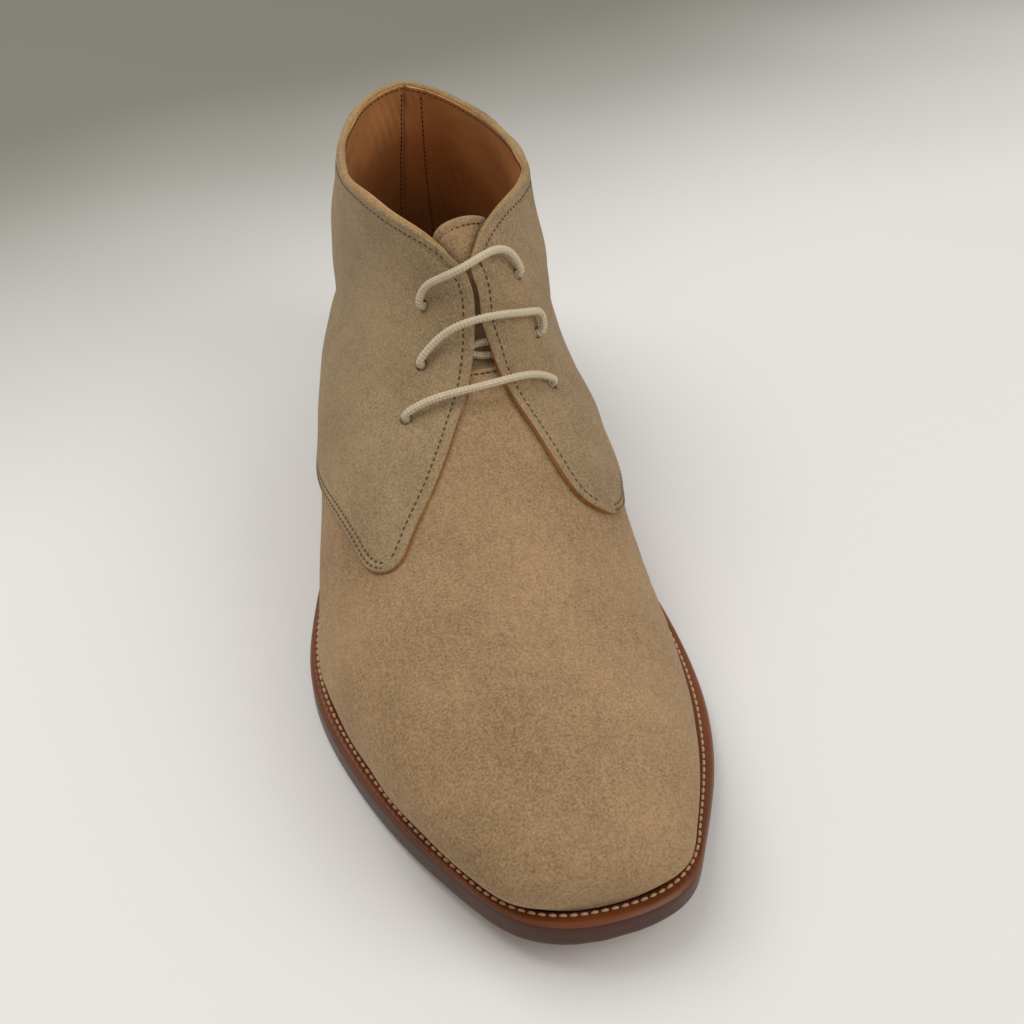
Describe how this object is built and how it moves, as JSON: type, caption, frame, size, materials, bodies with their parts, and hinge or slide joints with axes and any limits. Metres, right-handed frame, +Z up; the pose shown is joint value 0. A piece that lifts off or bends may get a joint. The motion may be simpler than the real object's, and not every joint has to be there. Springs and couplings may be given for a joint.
{
  "type": "chukka boot",
  "caption": "Left chukka boot of suede with open lacing over a tongue, on a welted leather sole with toe spring and a stacked heel, standing empty.",
  "frame": {"origin": "middle of the footprint's bounding box, on the floor under the sole", "axes": "+Z up, toe towards -Y, the wearer's outer side towards +X"},
  "size_m": [0.1118, 0.3, 0.1123],
  "materials": {
    "suede": "napped suede",
    "sole_leather": "polished",
    "edge_leather": "polished, dark",
    "rubber": "matt",
    "sock": "smooth lining",
    "cotton": "waxed cord"
  },
  "bodies": {
    "root": {"upper": "suede", "tongue": "suede", "insole": "sock", "welt": "edge_leather", "outsole": "sole_leather", "heel_lift_1": "sole_leather", "heel_lift_2": "sole_leather", "heel_lift_3": "sole_leather", "heel_top_leather": "sole_leather", "heel_top_rubber": "rubber", "lace": "cotton"}
  },
  "joints": []
}
